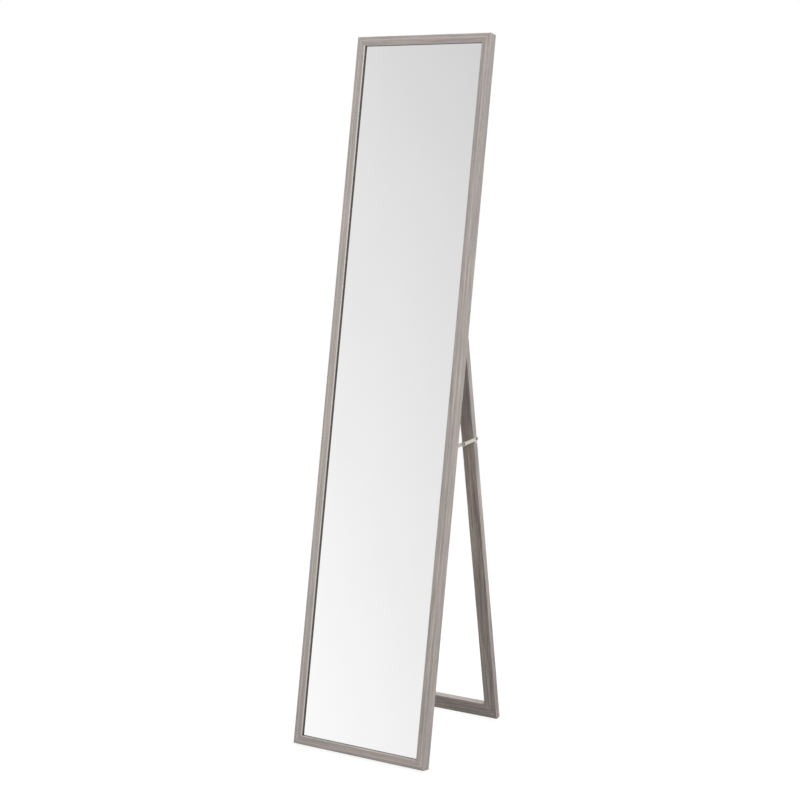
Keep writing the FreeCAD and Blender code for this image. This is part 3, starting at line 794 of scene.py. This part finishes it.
# Loose pieces of a node's mesh in the order they have there, each as a list of points
def islands(nodeName):
    bm = weldedMesh(nodeName)
    found = []
    waiting = set(bm.verts)
    for start in bm.verts:
        if start not in waiting:
            continue
        waiting.remove(start)
        reached = [start]
        for vertex in reached:
            for edge in vertex.link_edges:
                other = edge.other_vert(vertex)
                if other in waiting:
                    waiting.remove(other)
                    reached.append(other)
        if len(reached) > screw["leastPoints"]:
            found.append([v.co.copy() for v in reached])
    bm.free()
    return found


# One screw with its head's face at the origin and its point down -z
def screwMesh(bm, length, plate):
    radius, arm, half = screw["headRadius"], screw["crossArm"], screw["crossWidth"] / 2
    places = [-radius, -arm, -half, half, arm, radius]  # the grid's lines, moved to the cross's edges
    cells = len(places) - 1
    made = bmesh.ops.create_grid(bm, x_segments=cells, y_segments=cells, size=radius)["verts"]
    pitch = 2 * radius / cells
    for vertex in made:
        column = round((vertex.co.x + radius) / pitch)
        row = round((vertex.co.y + radius) / pitch)
        vertex.co.x, vertex.co.y = places[column], places[row]
        if vertex.is_boundary:
            vertex.co = vertex.co.normalized() * radius
    rim = [e for e in bm.edges if e.is_boundary]

    cross = []
    for face in bm.faces:
        middle = face.calc_center_median()
        near, far = sorted((abs(middle.x), abs(middle.y)))
        if near < half and far < arm:
            cross.append(face)
    sunk = bmesh.ops.extrude_face_region(bm, geom=cross)["geom"]
    bmesh.ops.delete(bm, geom=cross, context="FACES_ONLY")
    taper, depth = screw["crossTaper"], screw["crossDepth"]
    for vertex in [g for g in sunk if isinstance(g, bmesh.types.BMVert)]:
        vertex.co = Vector((vertex.co.x * taper, vertex.co.y * taper, -depth))

    shank = screw["shankRadius"]
    edges = rim
    for depth, width in ((plate, shank), (length - screw["tipLength"], shank), (length, screw["tipRadius"])):
        grown = bmesh.ops.extrude_edge_only(bm, edges=edges)["geom"]
        edges = [g for g in grown if isinstance(g, bmesh.types.BMEdge)]
        for vertex in {v for e in edges for v in e.verts}:
            flat = Vector((vertex.co.x, vertex.co.y, 0)).normalized() * width
            vertex.co = Vector((flat.x, flat.y, -depth))
    bmesh.ops.contextual_create(bm, geom=edges)


# Screws in place of a node's plain ones, driven backwards out of a part or outwards to its sides
def screwSet(nodeName, part, outwards, backwards, plate):
    bm = bmesh.new()
    for index, points in enumerate(islands(nodeName)):
        middle = sum(points, Vector()) / len(points)
        axis = parts[part].to_3x3() @ Vector((outwards * math.copysign(1, middle.x), backwards, 0))
        depths = [p.dot(axis) for p in points]
        head = middle + axis * (min(depths) - middle.dot(axis))
        one = bmesh.new()
        screwMesh(one, max(depths) - min(depths), plate)
        bmesh.ops.recalc_face_normals(one, faces=one.faces)
        turn = Vector((0, 0, -1)).rotation_difference(axis).to_matrix().to_4x4()
        spin = Matrix.Rotation(math.radians(screw["firstSpin"] + screw["nextSpin"] * index), 4, "Z")
        bmesh.ops.transform(one, matrix=Matrix.Translation(head) @ turn @ spin, verts=one.verts)
        mesh = bpy.data.meshes.new("oneScrew")
        one.to_mesh(mesh)
        one.free()
        bm.from_mesh(mesh)
        bpy.data.meshes.remove(mesh)
    name = nodeName + "_cross"
    return addPiece(name, meshFrom(bm, name, meshing["screwSmooth"]), nodeName, "zincSteel")


# The plate is as thick as the head is deep
screwSets = [
    {"nodeName": "hinge_frame_screws", "part": "mirror", "outwards": 0, "backwards": -1, "plate": 0.0012},
    {"nodeName": "hinge_stand_screws", "part": "stand", "outwards": 0, "backwards": 1, "plate": 0.0012},
    {"nodeName": "stay_frame_screws", "part": "mirror", "outwards": 1, "backwards": 0, "plate": 0.001},
    {"nodeName": "stay_stand_screws", "part": "stand", "outwards": -1, "backwards": 0, "plate": 0.001},
]
for settings in screwSets:
    screwSet(**settings)
print("screws made")


# Floor, light and camera

white = (1.0, 1.0, 1.0, 1.0)
studio = {
    "floorSize": 14.0, "floorDrop": 0.0002, "floorColour": 0.20,
    "shadeColour": 0.97,  # the floor's grey where the camera sees its shade
    "glow": (0.9, 2.0, 0.88, 1.0),  # the share of plain white in it, by the distance from the middle
    "ambient": 0.78,
    "upright": {"From Min": 0.36, "From Max": -0.04, "To Min": 0.728, "To Max": 0.971},  # reflections, by height
    "side": (-0.64, -0.37, 1.14, 0.86),  # and from left to right
}


def makeFloor():
    bm = bmesh.new()
    bmesh.ops.create_grid(bm, x_segments=2, y_segments=2, size=studio["floorSize"] / 2)
    bmesh.ops.translate(bm, verts=bm.verts, vec=(0, 0, -studio["floorDrop"]))
    mesh = bpy.data.meshes.new("studioFloor")
    bm.to_mesh(mesh)
    bm.free()
    floor = bpy.data.objects.new("studioFloor", mesh)
    bpy.context.scene.collection.objects.link(floor)
    material, tree, shader = newMaterial("studioWhite", **{"Roughness": 1.0, "Specular IOR Level": 0.0})
    seen = addNode(tree, "ShaderNodeLightPath").outputs["Is Camera Ray"]
    step = studio["shadeColour"] - studio["floorColour"]
    grey = calc(tree, "MULTIPLY_ADD", seen, step, studio["floorColour"])
    shade = addNode(tree, "ShaderNodeCombineColor", {0: grey, 1: grey, 2: grey}).outputs[0]
    plug(tree, shade, shader.inputs["Base Color"])
    here = addNode(tree, "ShaderNodeTexCoord").outputs["Object"]
    away = addNode(tree, "ShaderNodeVectorMath", {0: here}, operation="LENGTH").outputs["Value"]
    share = times(tree, seen, ease(tree, away, *studio["glow"]))
    plain = addNode(tree, "ShaderNodeEmission", {"Color": white, "Strength": 1.0}).outputs[0]
    mixed = addNode(tree, "ShaderNodeMixShader", {0: share, 1: shader.outputs[0], 2: plain}).outputs[0]
    plug(tree, mixed, tree.nodes["Material Output"].inputs["Surface"])
    mesh.materials.append(material)
    floor.visible_glossy = False


# White to the camera, a soft grey to white sweep in mirrors and metal, and even light elsewhere
def makeWorld():
    world = bpy.data.worlds.new("studioSurround")
    bpy.context.scene.world = world
    world.use_nodes = True
    tree = world.node_tree
    tree.nodes.clear()
    path = addNode(tree, "ShaderNodeLightPath").outputs
    split = splitPlace(tree, addNode(tree, "ShaderNodeTexCoord").outputs["Generated"])
    upright = addNode(tree, "ShaderNodeMapRange", {"Value": split["Z"], **studio["upright"]}).outputs[0]
    sweep = times(tree, upright, ease(tree, split["X"], *studio["side"]))
    even, swept, plain = [
        addNode(tree, "ShaderNodeBackground", {"Color": white, "Strength": strength}).outputs[0]
        for strength in (studio["ambient"], sweep, 1.0)
    ]
    shiny = calc(tree, "MAXIMUM", path["Is Glossy Ray"], path["Is Transmission Ray"])
    mixed = addNode(tree, "ShaderNodeMixShader", {0: shiny, 1: even, 2: swept}).outputs[0]
    mixed = addNode(tree, "ShaderNodeMixShader", {0: path["Is Camera Ray"], 1: mixed, 2: plain}).outputs[0]
    output = tree.nodes.new("ShaderNodeOutputWorld")
    plug(tree, mixed, output.inputs["Surface"])


lampTarget = (0, 0, 0.8)
lamps = {
    "keyFront": {"place": (-1.3, -3.9, 4.1), "size": 3.0, "power": 64},
    "fillRight": {"place": (3.6, -1.15, 3.3), "size": 2.4, "power": 104},
    "topSoft": {"place": (-0.5, 1.25, 4.6), "size": 2.2, "power": 122},
}


def pointAt(thing, place, target):
    thing.location = place
    thing.rotation_euler = (Vector(target) - Vector(place)).to_track_quat("-Z", "Y").to_euler()


def makeLamp(name, place, size, power):
    data = bpy.data.lights.new(name, "AREA")
    data.shape = "DISK"
    data.size = size
    data.energy = power
    lamp = bpy.data.objects.new(name, data)
    bpy.context.scene.collection.objects.link(lamp)
    pointAt(lamp, place, lampTarget)
    lamp.visible_glossy = False


camera = {
    "place": (1.7731, -3.03099, 1.29347), "target": (-0.0038, -0.00272, 0.73579),
    "lens": 75.312, "sensor": 36.0,  # both in millimetres
    "nearest": 0.05, "furthest": 60,
}


def makeCamera():
    data = bpy.data.cameras.new("photoCamera")
    data.lens = camera["lens"]
    data.sensor_width = camera["sensor"]
    data.clip_start, data.clip_end = camera["nearest"], camera["furthest"]
    view = bpy.data.objects.new("photoCamera", data)
    bpy.context.scene.collection.objects.link(view)
    pointAt(view, camera["place"], camera["target"])
    bpy.context.scene.camera = view


makeFloor()
makeWorld()
for name, settings in lamps.items():
    makeLamp(name, **settings)
makeCamera()
bpy.context.scene.view_settings.view_transform = "Standard"
print("studio ready")
